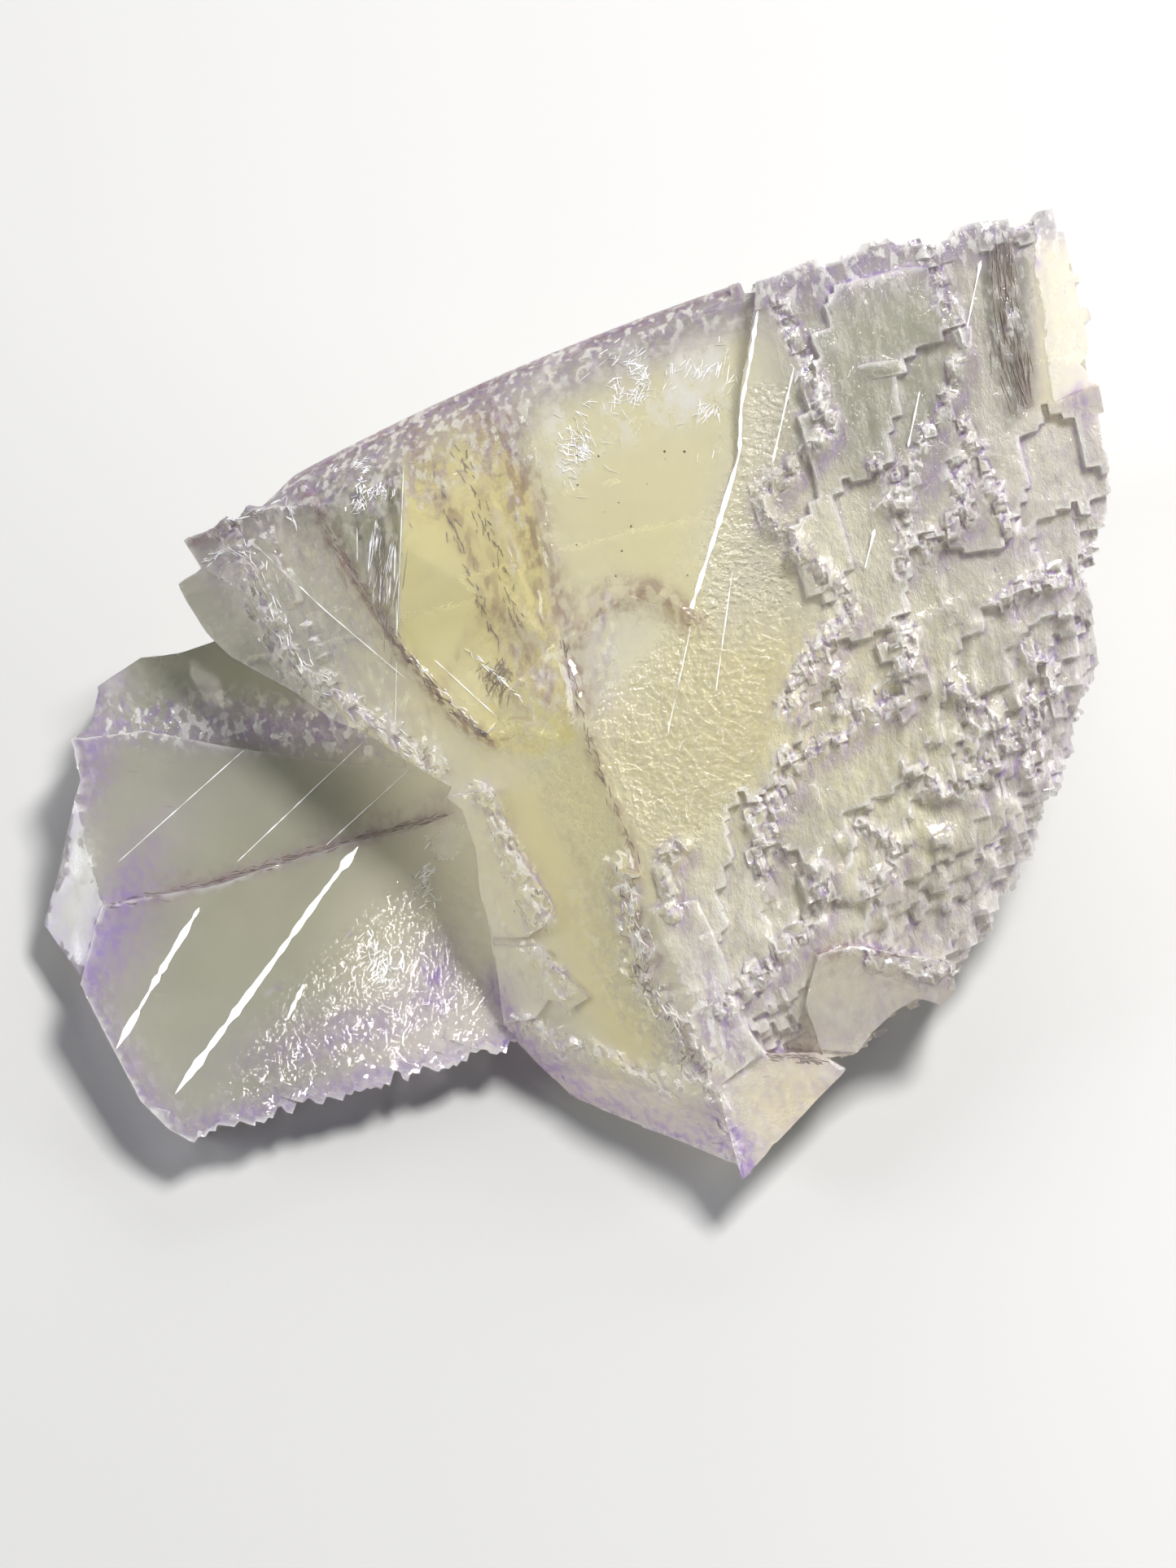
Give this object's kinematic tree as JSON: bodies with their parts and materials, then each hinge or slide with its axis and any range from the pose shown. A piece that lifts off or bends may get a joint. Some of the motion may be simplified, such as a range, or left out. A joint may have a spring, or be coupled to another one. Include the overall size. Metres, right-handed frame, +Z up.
{
  "type": "fluorite specimen",
  "caption": "Cluster of two intergrown stepped fluorite crystals, pale yellow with lavender edges, lying on a flat broken base.",
  "frame": {"origin": "middle of the footprint, on the flat that the stone rests on", "axes": "+X along the longest side, to the right of the broad front; +Y away from the front; +Z up"},
  "size_m": [0.0664, 0.0548, 0.0353],
  "materials": {
    "fluorite": "polished"
  },
  "bodies": {
    "root": {"fluorite_crystals": "fluorite"}
  },
  "joints": []
}
